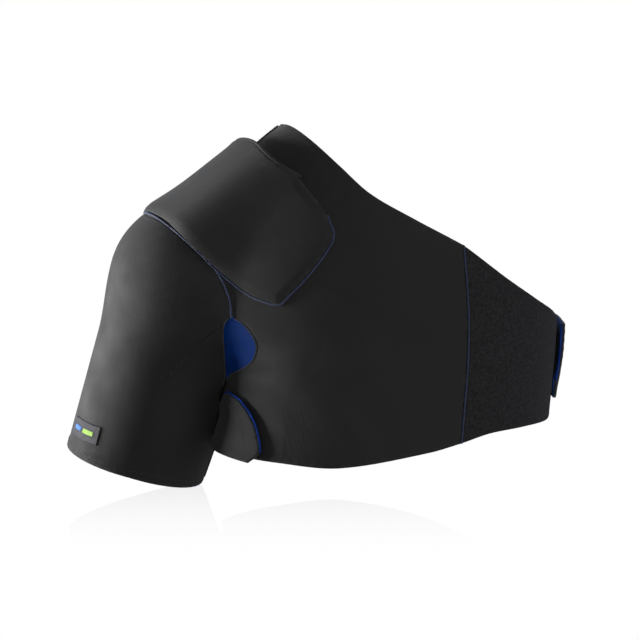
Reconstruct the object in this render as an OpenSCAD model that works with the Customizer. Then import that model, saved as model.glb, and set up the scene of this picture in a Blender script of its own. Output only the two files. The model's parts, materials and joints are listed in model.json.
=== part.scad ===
// Cold compression wrap for a shoulder: an elastic fabric wrap with an arm sleeve, a chest panel,
// a strap round the far side, an under-arm tab and a shoulder pocket that holds a gel pack.
// The wearer faces -Y, +X is the wearer's left side and +Z is up. Every soft piece is a sheet
// that lies at a given height above one smooth body form.

/* [Body form] */
// Radius of the arm at the sleeve hem
arm_r_hem = 57.5; // [56:0.5:59]
// Radius of the arm at the shoulder
arm_r_top = 64; // [62.5:0.5:65]
// Half width of the chest
chest_half_w = 148.5; // [147:0.5:150]
// Half depth of the chest
chest_half_d = 112; // [111:0.5:113]

/* [Fabric] */
// Thickness of the wrap fabric
fabric_t = 3.5; // [3:0.1:3.6]
// Radius of a seam thread
thread_r = 0.8; // [0.6:0.1:0.9]
// Free space between pieces that lie on each other
layer_gap = 0.5; // [0.4:0.1:0.6]

/* [Closures] */
// Thickness of the hook patches
hook_t = 1.4; // [1:0.1:1.6]
// Height of the strap at its free end
strap_end_h = 68; // [62:1:70]

/* [Gel pack] */
// Thickness of the gel pack
pack_t = 5; // [4:0.25:5.25]
// Length of the gel pack along the pocket
pack_l = 62; // [54:1:63]

/* [Sleeve cuff] */
// Clear bore radius of the cuff band
cuff_bore_r = 54; // [53:0.25:54.5]
// Length of the cuff band along the arm
cuff_l = 14; // [10:1:16]

/* [Hidden] */

black = [0.13, 0.13, 0.14];
loop_black = [0.09, 0.09, 0.11];
hook_black = [0.05, 0.05, 0.06];
lining_blue = [0.05, 0.15, 0.42];
thread_blue = [0.17, 0.22, 0.5];
gel_blue = [0.35, 0.6, 0.85];
mark_blue = [0.15, 0.35, 0.8];
mark_green = [0.6, 0.8, 0.2];

// Heights of the layers above the body form
over_low = fabric_t + 2 * layer_gap + hook_t;
over_high = over_low + fabric_t;
cover_low = fabric_t + layer_gap;
cover_t = 3;
thread_h = fabric_t + 0.6 + thread_r;
seam_inset = 0.6;

// ---- Body form ------------------------------------------------------------------------------
arm_foot = [-167, 0, 0];
arm_head = [-110, 0, 180];
arm_vec = arm_head - arm_foot;
arm_tilt = atan2(arm_vec.x, arm_vec.z);
neck_root = [9, 0, 235];
neck_root_r = 50;
girdle_r = 55;
neck_x = 76;
neck_r = 28;
chest_x = 49.5;
chest_flare = 0.045;
chest_base_z = 35;
chest_shoulder_z = 95;
chest_top_h = 245;
chest_power = 2.5;
chest_scale = 115;
side_tuck = 19;
tuck_top_z = 170;
tuck_span = 60;
side_flare = 10;
flare_top_z = 75;
flare_span = 45;
armpit_low_z = 70;
armpit_rise = 50;
armpit_gap = 15;

function mix(a, b, t) = a + (b - a) * t;
function clamp01(t) = max(0, min(1, t));
function ease(t) = let (c = clamp01(t)) c * c * (3 - 2 * c);
function soft_min(a, b, k) = let (h = clamp01(0.5 + 0.5 * (b - a) / k)) mix(b, a, h) - k * h * (1 - h);
function soft_max(a, b, k) = -soft_min(-a, -b, k);
function unit(v) = v / max(norm(v), 1e-9);

// Distance to a tapered limb from a to b; the limb runs on below a when open_end is true
function limb(p, a, b, ra, rb, open_end) =
    let (ab = b - a, t = (p - a) * ab / (ab * ab), c = min(1, open_end ? t : max(0, t)))
    norm(p - a - c * ab) - mix(ra, rb, c);

function chest(p) =
    let (s = p.z - chest_base_z,
        across = p.x - chest_x - chest_flare * s,
        tuck = across > 0 ? 0 : side_tuck * ease((tuck_top_z - p.z) / tuck_span)
            - side_flare * ease((flare_top_z - p.z) / flare_span),
        x = abs(across) / (chest_half_w + chest_flare * s - tuck),
        y = abs(p.y) / chest_half_d,
        up = max(0, p.z - chest_shoulder_z) / chest_top_h)
    (pow(pow(x, chest_power) + pow(y, chest_power) + pow(up, chest_power), 1 / chest_power) - 1)
    * chest_scale;

// Signed height of a point above the skin of the body
function body(p) =
    let (w = ease((p.z - armpit_low_z) / armpit_rise),
        arm = limb(p, arm_foot, arm_head, arm_r_hem, arm_r_top, true),
        carved = soft_max(chest(p), mix(armpit_gap, -60, w) - arm, 8),
        girdle = limb(p, arm_head, neck_root, girdle_r, neck_root_r, false),
        neck = norm([p.x - neck_x, p.y]) - neck_r,
        trunk = soft_min(carved, soft_min(girdle, neck, 50), 45))
    soft_min(arm, trunk, mix(5, 34, w));

function slope_of(f, p) =
    let (e = 0.25)
    [for (d = [[e, 0, 0], [0, e, 0], [0, 0, e]]) (f(p + d) - f(p - d)) / (2 * e)];

// Moves a point along the slope until it lies on the zero surface of f
function settle(f, p, steps = 6) =
    steps == 0 ? p :
    let (g = slope_of(f, p), move = -f(p) / max(g * g, 0.05) * g)
    settle(f, p + move * min(1, 20 / max(norm(move), 1e-6)), steps - 1);

skin = function (p) body(p);
function lift(p, h) = p + h * unit(slope_of(skin, p));

// ---- Curves and sheets ----------------------------------------------------------------------
function last(list) = list[len(list) - 1];
function flipped(list) = [for (i = [len(list) - 1:-1:0]) list[i]];
function tail(list) = [for (i = [1:1:len(list) - 1]) list[i]];
function mirrored(list) = [for (p = list) [p.x, -p.y, p.z]];

function run_of(pts, i = 0, sum = 0) =
    i == len(pts) - 1 ? [sum] : concat([sum], run_of(pts, i + 1, sum + norm(pts[i + 1] - pts[i])));

function pace(pts, run, i) =
    let (a = max(0, i - 1), b = min(len(pts) - 1, i + 1)) (pts[b] - pts[a]) / (run[b] - run[a]);

function on_curve(pts, run, s) =
    let (i = max([for (k = [0:len(pts) - 2]) run[k] <= s ? k : 0]),
        h = run[i + 1] - run[i], t = (s - run[i]) / h)
    (1 + 2 * t) * (1 - t) * (1 - t) * pts[i] + t * (1 - t) * (1 - t) * h * pace(pts, run, i)
    + t * t * (3 - 2 * t) * pts[i + 1] + t * t * (t - 1) * h * pace(pts, run, i + 1);

// n + 1 evenly spaced points of the smooth curve through pts
function curve(pts, n) = let (run = run_of(pts)) [for (i = [0:n]) on_curve(pts, run, last(run) * i / n)];

// Grid of points between four edge curves; low and high run along u, left and right along v
function patch(low, high, left, right) =
    let (n = len(low) - 1, m = len(left) - 1)
    [for (j = [0:m]) let (v = j / m)
        [for (i = [0:n]) let (u = i / n)
            mix(low[i], high[i], v) + mix(left[j], right[j], u)
            - mix(mix(low[0], low[n], u), mix(high[0], high[n], u), v)]];

function ruled(low, high, m) = [for (j = [0:m]) [for (i = [0:len(low) - 1]) mix(low[i], high[i], j / m)]];
function settled(grid, f) = [for (row = grid) [for (p = row) settle(f, p)]];
function toward(p, q, d) = p + d * unit(q - p);

// Draws the sides of a grid in by d; a ring is drawn in at its two ends only
function drawn_in(grid, d, ring = false) =
    let (m = len(grid) - 1, n = len(grid[0]) - 1)
    [for (j = [0:m]) [for (i = [0:n])
        let (p = grid[j][i],
            a = ring ? p : i == 0 ? toward(p, grid[j][1], d) : i == n ? toward(p, grid[j][n - 1], d) : p,
            b = j == 0 ? toward(p, grid[1][i], d) : j == m ? toward(p, grid[m - 1][i], d) : p)
        a + b - p]];

// Closed shell between two grids of points that face each other
module shell(inner, outer, ring = false) {
    m = len(inner) - 1;
    n = len(inner[0]) - 1;
    cols = ring ? n + 1 : n;
    count = (m + 1) * (n + 1);
    at = function (i, j) j * (n + 1) + i % (n + 1);
    mi = floor(n / 2);
    mj = floor(m / 2);
    across = cross(inner[mj][mi + 1] - inner[mj][mi], inner[mj + 1][mi] - inner[mj][mi]);
    outward = across * (outer[mj][mi] - inner[mj][mi]) > 0;
    under = [for (j = [0:m - 1]) for (i = [0:cols - 1])
        let (a = at(i, j), b = at(i + 1, j), c = at(i + 1, j + 1), d = at(i, j + 1))
        each [[a, b, c], [a, c, d]]];
    over = [for (t = under) [t[0] + count, t[2] + count, t[1] + count]];
    ends = [for (i = [0:cols - 1]) each [[at(i + 1, 0), at(i, 0)], [at(i, m), at(i + 1, m)]]];
    sides = ring ? [] : [for (j = [0:m - 1]) each [[at(0, j), at(0, j + 1)], [at(n, j + 1), at(n, j)]]];
    rim = [for (e = concat(ends, sides))
        each [[e[0], e[1], e[1] + count], [e[0], e[1] + count, e[0] + count]]];
    faces = concat(under, over, rim);
    points = [for (grid = [inner, outer]) for (row = grid) each row];
    polyhedron(points, outward ? faces : [for (t = faces) [t[0], t[2], t[1]]]);
}

// Fabric sheet between two heights above a grid of skin points; a height is a number or a
// function of the two grid fractions
module sheet(grid, low, high, ring = false) {
    m = len(grid) - 1;
    n = len(grid[0]) - 1;
    level = function (h, i, j) is_num(h) ? h : h(i / n, j / m);
    inner = [for (j = [0:m]) [for (i = [0:n]) lift(grid[j][i], level(low, i, j))]];
    outer = [for (j = [0:m]) [for (i = [0:n]) lift(grid[j][i], level(high, i, j))]];
    shell(inner, outer, ring);
}

// Round rope of radius r through a list of points
module rope(mids, r, sides = 6) {
    n = len(mids) - 1;
    rings = [for (i = [0:n])
        let (t = unit(mids[min(n, i + 1)] - mids[max(0, i - 1)]),
            side = unit(cross(t, [0.31, 0.17, 0.93])), top = cross(side, t))
        for (k = [0:sides - 1])
            mids[i] + r * (cos(360 * k / sides) * side + sin(360 * k / sides) * top)];
    walls = [for (i = [0:n - 1]) for (k = [0:sides - 1])
        let (a = i * sides + k, b = i * sides + (k + 1) % sides)
        each [[a, b + sides, a + sides], [a, b, b + sides]]];
    caps = [for (k = [1:sides - 2]) each [[0, k + 1, k], [n * sides, n * sides + k, n * sides + k + 1]]];
    polyhedron(rings, concat(walls, caps));
}

// Rope at height h above a list of skin points
module cord(points, h, r) {
    rope([for (p = points) lift(p, h)], r);
}

// Cord along a curve given by its guide points
module seam(guide, n, h = thread_h, r = thread_r) {
    cord([for (p = curve(guide, n)) settle(skin, p)], h, r);
}

// Runs a module's pieces on the front and again mirrored on the back
module both_sides() {
    children();
    mirror([0, 1, 0]) children();
}

// ---- Outlines of the panels, front half -------------------------------------------------------
shoulder_tip = [-152, 0, 241];
neck_tip = [-31, 0, 318];
split = [-86, -77, 201];
gusset_tip = [-70, -78, 160];
closure_top = [123, -100, 224];
closure_foot = [122, -108, 56.5];
side_top = [-79, -34, 85];
side_foot = [-85, -36, 41];
strap_root_top = [150, 100, 152];
strap_root_foot = [150, 100, 73];

ridge = [shoulder_tip, [-128, 0, 256], [-100, 0, 272], [-62, 0, 299], neck_tip];
neckline = [neck_tip, [-5, -62, 310], [20, -84, 289], [45, -95, 267], [82, -101, 246], closure_top];
armhole = [shoulder_tip, [-145, -22, 241], [-130, -44, 236], [-101, -70, 215], split,
    [-74, -81, 178], gusset_tip];
gusset_chest = [gusset_tip, [-59, -83, 152], [-50, -86, 139], [-52, -83, 127], [-62, -68, 113],
    [-74, -54, 107], [-79.5, -46, 100], [-80, -38, 92], side_top];
gusset_sleeve = [gusset_tip, [-77, -71, 146], [-80, -63, 130], [-81, -56, 117], [-84, -50, 106],
    [-88, -41, 94], [-88, -33, 82]];
vault_chest = [side_top, [-77, -24, 77], [-71, -11, 71], [-70, 0, 69]];
vault_sleeve = [last(gusset_sleeve), [-88, -16, 73], [-84, 0, 69]];
front_hem = [side_foot, [-70, -64, 40], [-50, -84, 39], [-31, -97, 38.5], [20, -113, 36.5],
    [95, -112, 49.5], closure_foot];
closure_edge = [closure_top, [127, -106, 150], closure_foot];
back_neckline = [neck_tip, [-8, 60, 292], [18, 84, 264], [48, 95, 239], [84, 101, 212], [120, 105, 182],
    strap_root_top];
back_hem = [[-85, 36, 41], [-70, 64, 40], [-31, 97, 39], [20, 113, 37], [90, 114, 50], strap_root_foot];
loop_top = [closure_top, [159, -91, 196], [186, -71, 175], [201, -46, 162], [211, -10, 148], [210, 24, 142]];
loop_foot = [closure_foot, [147, -98, 63.5], [174, -80, 65.5], [188, -61, 65.5], [202, -22, 64],
    [204, 24, 65]];

// ---- Panels of the wrap -----------------------------------------------------------------------
// Half of the wrap: one patch from the armhole to a far edge, open at the shoulder ridge
module body_panel(hole, edge, collar, far, hem) {
    top = concat(curve(ridge, 8), tail(curve(collar, 14)));
    left = concat(curve(hole, 9), tail(curve(edge, 7)), tail(curve([last(edge), hem[0]], 3)));
    grid = patch(top, curve(hem, 22), left, curve(far, 19));
    sheet(drawn_in(settled(grid, skin), seam_inset), 0, fabric_t);
}

module front_panel() {
    color(black) body_panel(armhole, gusset_chest, neckline, closure_edge, front_hem);
}

module back_panel() {
    color(black) body_panel(mirrored(armhole), mirrored(gusset_chest), back_neckline,
        [strap_root_top, strap_root_foot], back_hem);
}

module loop_panel() {
    grid = patch(curve(loop_top, 14), curve(loop_foot, 14), curve(closure_edge, 8),
        curve([last(loop_top), last(loop_foot)], 8));
    color(loop_black) sheet(drawn_in(settled(grid, skin), seam_inset), 0, fabric_t);
}

// ---- Sleeve -----------------------------------------------------------------------------------
hem_at = 21.5;
hem_sag = 3;
gusset_inset = 1.6;
sleeve_loop = let (front = concat(curve(armhole, 11), tail(curve(gusset_sleeve, 8)),
        tail(curve(vault_sleeve, 4))))
    concat(front, tail(flipped(mirrored(tail(front)))));

function arm_r(s) = mix(arm_r_hem, arm_r_top, s / norm(arm_vec));
function on_arm(s, turn, r) =
    arm_foot + s * unit(arm_vec)
    + r * [-cos(turn) * cos(arm_tilt), -sin(turn), cos(turn) * sin(arm_tilt)];

module arm_sleeve() {
    n = len(sleeve_loop);
    hem = [for (i = [0:n - 1]) let (turn = 360 * i / n)
        on_arm(hem_at - hem_sag * (max(0, sin(turn)) + max(0, cos(turn))), turn, arm_r(hem_at))];
    color(black) sheet(drawn_in(settled(ruled(hem, sleeve_loop, 14), skin), seam_inset, true),
        0, fabric_t, true);
}

module armpit_gusset() {
    half_s = concat(curve(gusset_sleeve, 8), tail(curve(vault_sleeve, 4)));
    half_c = concat(curve(gusset_chest, 8), tail(curve(vault_chest, 4)));
    sleeve_side = concat(half_s, tail(flipped(mirrored(half_s))));
    chest_side = concat(half_c, tail(flipped(mirrored(half_c))));
    n = len(sleeve_side) - 1;
    inner = [for (i = [1:n - 1]) sleeve_side[i]];
    outer = [for (i = [1:n - 1]) chest_side[i]];
    bulge = 6;
    grid = [for (j = [0:4]) [for (i = [0:n - 2])
        mix(inner[i], outer[i], j / 4) + [0, 0, bulge * j * (4 - j) / 4]]];
    color(lining_blue) sheet(drawn_in(settled(grid, skin), gusset_inset), 0, fabric_t);
}

module along_arm(s) {
    translate(arm_foot) rotate([0, arm_tilt, 0]) translate([0, 0, s]) children();
}

module cuff_band() {
    wall = 3;
    color(black) along_arm(hem_at + 2)
        difference() {
            cylinder(h = cuff_l, r = cuff_bore_r + wall, $fn = 96);
            translate([0, 0, -1]) cylinder(h = cuff_l + 2, r = cuff_bore_r, $fn = 96);
        }
}

module cuff_hem_stitching() {
    s = hem_at + 4;
    color(thread_blue) along_arm(s)
        rotate_extrude($fn = 96) translate([arm_r(s) + fabric_t + 1.1, 0]) circle(r = 0.5, $fn = 16);
}

module sleeve_seam_thread() {
    color(thread_blue) cord([for (s = [28:8:60]) on_arm(s, 180, arm_r(s))], thread_h, thread_r);
}

// ---- Seams of the wrap ------------------------------------------------------------------------
module armhole_seam_thread() {
    color(thread_blue) both_sides() seam([mix(split, armhole[5], 0.2), armhole[5], gusset_tip], 8);
}

module gusset_seam_thread() {
    color(thread_blue) both_sides() {
        seam([for (k = [1:5]) gusset_chest[k]], 10);
        seam([for (k = [1:4]) gusset_sleeve[k]], 8);
    }
}

module closure_seam_thread() {
    color(thread_blue) cord([for (p = curve(closure_edge, 20)) settle(skin, p)], thread_h, thread_r);
}

module shoulder_seam_thread() {
    color(thread_blue) seam([[-52, 0, 305], [-42, 0, 311], [-33, 0, 317]], 4);
}

module strap_root_stitching() {
    color(thread_blue) seam([[146, 102, 148], [146, 102, 77]], 8);
}

// ---- Strap ------------------------------------------------------------------------------------
strap_mid_z = 113;
strap_end_y = -26;
strap_end_top = strap_mid_z + strap_end_h / 2;
strap_end_foot = strap_mid_z - strap_end_h / 2;
strap_corner = 18;
strap_top = [strap_root_top, [187, 68, 150], [208, 24, 148], [209, strap_end_y, strap_end_top]];
strap_foot = [strap_root_foot, [184, 68, 74], [203, 24, 77],
    [205, strap_end_y + strap_corner, strap_end_foot], [206, strap_end_y + 4, strap_end_foot + 6],
    [207, strap_end_y, strap_end_foot + strap_corner]];
strap_rise_from = 0.25;
strap_rise_to = 0.5;
strap_grid = patch(curve(strap_top, 18), curve(strap_foot, 18),
    curve([strap_root_top, strap_root_foot], 6), curve([last(strap_top), last(strap_foot)], 6));
strap_flare = 2;
trim_r = 1.2;
strap_flare_from = 0.8;
strap_h = function (u, v)
    over_low * ease((u - strap_rise_from) / (strap_rise_to - strap_rise_from))
    + strap_flare * ease((u - strap_flare_from) / (1 - strap_flare_from)) * (1 - ease(1.5 * v));

module closure_strap() {
    color(black) sheet(drawn_in(settled(strap_grid, skin), seam_inset),
        strap_h, function (u, v) strap_h(u, v) + fabric_t);
}

// Patch of hook tape between two heights of z and two places along y, under a closure
module strap_hook_patch() {
    top = [[209, 14, 140], [209, -18, 140]];
    foot = [[204, 14, 86], [204, -18, 86]];
    grid = patch(curve(top, 4), curve(foot, 4), curve([top[0], foot[0]], 5), curve([top[1], foot[1]], 5));
    color(hook_black) sheet(settled(grid, skin), fabric_t + layer_gap, fabric_t + layer_gap + hook_t);
}

module strap_end_trim() {
    trim_y = strap_end_y - 2.6;
    color(lining_blue) seam([[209, trim_y, strap_end_top - 2], [207, trim_y, strap_end_foot + strap_corner]],
        8, over_low + strap_flare / 2 + trim_r, trim_r);
}

// ---- Under-arm band and tab ---------------------------------------------------------------------
tab_hinge_y = -40;
band_rise_from = 0.58;
band_rise_span = 0.25;
module underarm_band() {
    top = [[-78, 32.5, 76], [-74, 20, 68], [-70, 0, 63], [-74, -18, 64], [-77, -28, 67],
        [-76, tab_hinge_y, 74]];
    foot = [[-85, 32.5, 41], [-86, 18, 40], [-82, 0, 39], [-86, -16, 40], [-86, -28, 40.5],
        [-84, tab_hinge_y, 40]];
    grid = patch(curve(top, 16), curve(foot, 16), curve([top[0], foot[0]], 3),
        curve([last(top), last(foot)], 3));
    low = function (u, v) over_low * ease((u - band_rise_from) / band_rise_span);
    color(black) sheet(drawn_in(settled(grid, skin), seam_inset), low, function (u, v) low(u, v) + fabric_t);
}

tab_top = [[-76, tab_hinge_y - 1, 74], [-67, -53, 90], [-57, -71, 87]];
tab_foot = [[-84, tab_hinge_y - 1, 40], [-78, -53, 38.5], [-68, -64, 37.5], [-50, -82, 36]];
tab_end = [last(tab_top), [-49, -80, 75], [-44, -86, 58], [-42, -88, 45], last(tab_foot)];
tab_grid = patch(curve(tab_top, 10), curve(tab_foot, 10), curve([tab_top[0], tab_foot[0]], 6),
    curve(tab_end, 6));

module underarm_tab() {
    color(black) sheet(settled(tab_grid, skin), over_low, over_high);
}

module underarm_hook_patch() {
    top = [[-69, -58, 79], [-57, -76, 72]];
    foot = [[-73, -56, 50], [-54, -80, 50]];
    grid = patch(curve(top, 3), curve(foot, 3), curve([top[0], foot[0]], 4), curve([top[1], foot[1]], 4));
    color(hook_black) sheet(settled(grid, skin), fabric_t + layer_gap, fabric_t + layer_gap + hook_t);
}

module tab_edge_trim() {
    out = 2.2;
    color(lining_blue) seam([for (p = [for (k = [0:3]) tab_end[k]]) p + out * unit([0.8, -0.5, 0.25])],
        12, over_low + fabric_t / 2, trim_r);
}

module tab_stitching() {
    color(thread_blue) seam([[-64, -62, 83], [-56, -72, 74], [-51, -78, 58], [-50, -80, 47]], 10,
        over_high + 0.9, 0.4);
}

// ---- Shoulder pocket and gel pack ---------------------------------------------------------------
slide_tilt = 38;
pack_r = 116;
pack_axis_h = -126.4;
pack_from = 44;
pack_half_turn = 31;
slide_dir = [cos(slide_tilt), 0, sin(slide_tilt)];
slide_up = [-sin(slide_tilt), 0, cos(slide_tilt)];
pack_room = 2;

pack_half_w = pack_r * sin(pack_half_turn);
channel_edge = 20;

// Inside of the pocket cover: the base layer, pushed out by a round channel for the pack
cover_form = function (p)
    let (d = p - shoulder_tip, up = d * slide_up - pack_axis_h,
        roof = norm([d.y, up]) - pack_r - pack_t - pack_room,
        channel = soft_max(roof, abs(d.y) - pack_half_w - channel_edge, 20))
    soft_min(body(p) - cover_low, channel, 8);

function cover_lift(p, h) = p + h * unit(slope_of(cover_form, p));

pocket_inset = 2.6;
binding_gap = 3.2;
pocket_tip = [-31, -102, 172];
pocket_corner = [15, -102, 234];
mouth_end = [-12, -83, 277];
pocket_low = [shoulder_tip, [-130, -44, 236], [-101, -70, 215], split, [-57, -89, 180], pocket_tip];
pocket_side = [pocket_tip, [-5, -105, 200], [13, -103, 225], pocket_corner];
pocket_rise = [pocket_corner, [6, -96, 255], mouth_end];
mouth = [mouth_end, [-36, -65, 290], [-50, -42, 300], [-65, 0, 298]];
back_side = [[-31, 102, 172], [-5, 105, 200], [9, 103, 221]];
back_rise = [last(back_side), [7, 102, 238], [-7, 96, 252], [-26, 85, 262]];
back_mouth = [last(mouth), [-66, 42, 290], [-53, 66, 278], last(back_rise)];
mouth_line = concat(curve(mouth, 8), tail(curve(back_mouth, 8)));

module pocket_cover() {
    low_half = curve(pocket_low, 12);
    seam_side = concat(flipped(low_half), tail(mirrored(low_half)));
    top_side = concat(curve(pocket_rise, 4), tail(mouth_line), tail(flipped(curve(back_rise, 4))));
    outline = patch(seam_side, top_side, curve(pocket_side, 8), curve(back_side, 8));
    grid = settled(drawn_in(outline, pocket_inset), cover_form);
    color(black) shell(grid, [for (row = grid) [for (p = row) cover_lift(p, cover_t)]]);
}

module pocket_mouth_binding() {
    edge = [for (p = mouth_line)
        cover_lift(settle(cover_form, p + binding_gap * slide_dir), cover_t / 2)];
    color(black) rope([for (k = [1:len(edge) - 2]) edge[k]], 1.5);
}

module pocket_seam_thread() {
    color(thread_blue) {
        both_sides() seam([for (k = [1:5]) pocket_low[k]], 18);
        seam(concat(pocket_side, [pocket_rise[1]]), 12);
        seam(concat(back_side, [back_rise[1]]), 12);
    }
}

// Places a piece that is drawn across the slide direction of the gel pack
module on_slide(along) {
    translate(shoulder_tip) rotate([0, -slide_tilt, 0]) translate([along, 0, pack_axis_h])
        rotate([90, 0, 90]) children();
}

// Flat arch between two radii and out to an angle either side of the crown
module arch(r0, r1, half_turn) {
    far = 2 * r1;
    intersection() {
        difference() {
            circle(r = r1, $fn = 180);
            circle(r = r0, $fn = 180);
        }
        polygon([[0, 0], [far * sin(half_turn), far * cos(half_turn)], [0, far],
            [-far * sin(half_turn), far * cos(half_turn)]]);
    }
}

film_t = 0.5;
seal_w = 4;
slip = 0.1;
seal_turn = 360 * seal_w / (2 * PI * pack_r);

module pack_layer(r0, r1) {
    on_slide(pack_from + seal_w)
        linear_extrude(pack_l - 2 * seal_w) arch(r0, r1, pack_half_turn - seal_turn);
}

module pack_outer_film() {
    color(gel_blue) pack_layer(pack_r + pack_t - film_t, pack_r + pack_t);
}

module pack_inner_film() {
    color(gel_blue) pack_layer(pack_r, pack_r + film_t);
}

module pack_gel() {
    color(gel_blue) pack_layer(pack_r + film_t + slip, pack_r + pack_t - film_t - slip);
}

module pack_edge_seal() {
    r0 = pack_r + pack_t / 2 - film_t;
    r1 = pack_r + pack_t / 2 + film_t;
    color(gel_blue) difference() {
        on_slide(pack_from) linear_extrude(pack_l) arch(r0, r1, pack_half_turn);
        on_slide(pack_from + seal_w - slip)
            linear_extrude(pack_l - 2 * (seal_w - slip))
                arch(r0 - 1, r1 + 1, pack_half_turn - seal_turn + slip);
    }
}

// ---- Sleeve label -------------------------------------------------------------------------------
label_low = [[-214, -16, 50], [-203, -37, 46.5], [-190, -51, 44]];
label_high = [[-209, -20, 65], [-199, -38, 62.5], [-186, -52, 60]];
label_t = 0.8;

module label_strip(u0, u1, v0, v1, h, t) {
    grid = ruled(curve(label_low, 12), curve(label_high, 12), 8);
    part = [for (j = [v0:v1]) [for (i = [u0:u1]) grid[j][i]]];
    sheet(settled(part, skin), h, h + t);
}

module sleeve_label() {
    color(hook_black) label_strip(0, 12, 0, 8, fabric_t + layer_gap, label_t);
}

// Two plain woven bars, one long and one short
module label_mark() {
    h = fabric_t + 2 * layer_gap + label_t;
    color(mark_blue) label_strip(2, 5, 3, 5, h, 0.3);
    color(mark_green) label_strip(6, 10, 3, 5, h, 0.3);
}

front_panel();
back_panel();
underarm_band();
arm_sleeve();
armpit_gusset();
loop_panel();
closure_strap();
strap_hook_patch();
strap_end_trim();
strap_root_stitching();
underarm_tab();
underarm_hook_patch();
tab_edge_trim();
tab_stitching();
pocket_cover();
pocket_mouth_binding();
pocket_seam_thread();
armhole_seam_thread();
gusset_seam_thread();
closure_seam_thread();
shoulder_seam_thread();
sleeve_seam_thread();
cuff_band();
cuff_hem_stitching();
pack_outer_film();
pack_inner_film();
pack_gel();
pack_edge_seal();
sleeve_label();
label_mark();
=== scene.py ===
import json
import math
import bpy
import numpy as np
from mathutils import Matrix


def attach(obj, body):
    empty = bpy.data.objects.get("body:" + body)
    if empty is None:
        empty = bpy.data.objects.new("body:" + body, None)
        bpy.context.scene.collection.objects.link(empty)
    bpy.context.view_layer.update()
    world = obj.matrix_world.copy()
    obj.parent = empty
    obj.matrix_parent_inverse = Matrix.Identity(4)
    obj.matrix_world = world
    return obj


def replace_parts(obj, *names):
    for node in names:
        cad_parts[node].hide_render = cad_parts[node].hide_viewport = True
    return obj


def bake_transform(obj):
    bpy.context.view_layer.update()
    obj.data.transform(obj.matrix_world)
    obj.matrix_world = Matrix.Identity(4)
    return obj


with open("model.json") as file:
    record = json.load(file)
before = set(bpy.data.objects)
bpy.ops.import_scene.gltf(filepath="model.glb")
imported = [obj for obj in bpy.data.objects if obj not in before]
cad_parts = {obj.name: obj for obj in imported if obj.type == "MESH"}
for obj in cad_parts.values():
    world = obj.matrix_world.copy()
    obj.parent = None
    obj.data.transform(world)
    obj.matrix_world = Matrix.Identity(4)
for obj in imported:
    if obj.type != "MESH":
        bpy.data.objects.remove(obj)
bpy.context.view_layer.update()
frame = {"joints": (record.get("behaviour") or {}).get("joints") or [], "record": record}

MM = 0.001
JOINTS = {j["name"]: j for j in frame["joints"]}
MOUNTS = {m["name"]: m for m in frame["record"]["mounts"]}

# ------------------------------------------------------------------ body form, in millimetres
# The same smooth body as in the CAD. The arm's axis comes from the cuff mount.
CUFF_STATION = 30.5
cuff_out = np.array(MOUNTS["arm_cuff"]["axis"], float)
ARM_DIR = -cuff_out / np.linalg.norm(cuff_out)
ARM_FOOT = np.array(MOUNTS["arm_cuff"]["pos_m"], float) / MM - CUFF_STATION * ARM_DIR
ARM_LEN = 188.81
ARM_HEAD = ARM_FOOT + ARM_LEN * ARM_DIR
ARM_R = (57.5, 64.0)
NECK_ROOT = np.array([9.0, 0.0, 235.0])
NECK_ROOT_R = 50.0
GIRDLE_R = 55.0
NECK_X, NECK_R = 76.0, 28.0
CHEST_X, CHEST_W, CHEST_D, CHEST_FLARE = 49.5, 148.5, 112.0, 0.045
CHEST_BASE_Z, CHEST_POWER, CHEST_SCALE = 35.0, 2.5, 115.0
DOME_Z, DOME_H = 95.0, 245.0
SIDE_TUCK, TUCK_TOP_Z, TUCK_SPAN = 19.0, 170.0, 60.0
SIDE_FLARE, FLARE_TOP_Z, FLARE_SPAN = 10.0, 75.0, 45.0
# how far the arm is cut out of the chest and how softly it joins, below and above the armpit
ARMPIT_Z, ARMPIT_SPAN = 70.0, 50.0
ARM_CUT, ARM_CUT_SOFT = (15.0, -60.0), 8.0
ARM_SOFT = (5.0, 34.0)
NECK_SOFT, TRUNK_SOFT = 50.0, 45.0

FABRIC = 3.5
HOOK_T = 1.4
GAP = 0.5
OVER_LOW = FABRIC + 2 * GAP + HOOK_T
COVER_LOW = FABRIC + GAP
THREAD_H = FABRIC + 0.75


def mix(a, b, t):
    return a + (b - a) * t


def ease(t):
    t = np.clip(t, 0.0, 1.0)
    return t * t * (3 - 2 * t)


def bell(x, at, width):
    return np.exp(-((x - at) / width) ** 2)


def soft_min(a, b, k):
    h = np.clip(0.5 + 0.5 * (b - a) / k, 0.0, 1.0)
    return mix(b, a, h) - k * h * (1 - h)


def soft_max(a, b, k):
    return -soft_min(-a, -b, k)


def limb(p, a, b, ra, rb, open_end):
    ab = b - a
    t = (p - a) @ ab / (ab @ ab)
    c = np.minimum(1.0, t if open_end else np.maximum(0.0, t))
    return np.linalg.norm(p - a - c[:, None] * ab, axis=1) - mix(ra, rb, c)


def chest(p):
    s = p[:, 2] - CHEST_BASE_Z
    across = p[:, 0] - CHEST_X - CHEST_FLARE * s
    tuck = SIDE_TUCK * ease((TUCK_TOP_Z - p[:, 2]) / TUCK_SPAN)
    tuck -= SIDE_FLARE * ease((FLARE_TOP_Z - p[:, 2]) / FLARE_SPAN)
    tuck = np.where(across < 0, tuck, 0.0)
    x = np.abs(across) / (CHEST_W + CHEST_FLARE * s - tuck)
    y = np.abs(p[:, 1]) / CHEST_D
    up = np.maximum(0.0, p[:, 2] - DOME_Z) / DOME_H
    n = CHEST_POWER
    return ((x ** n + y ** n + up ** n) ** (1 / n) - 1) * CHEST_SCALE


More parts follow.
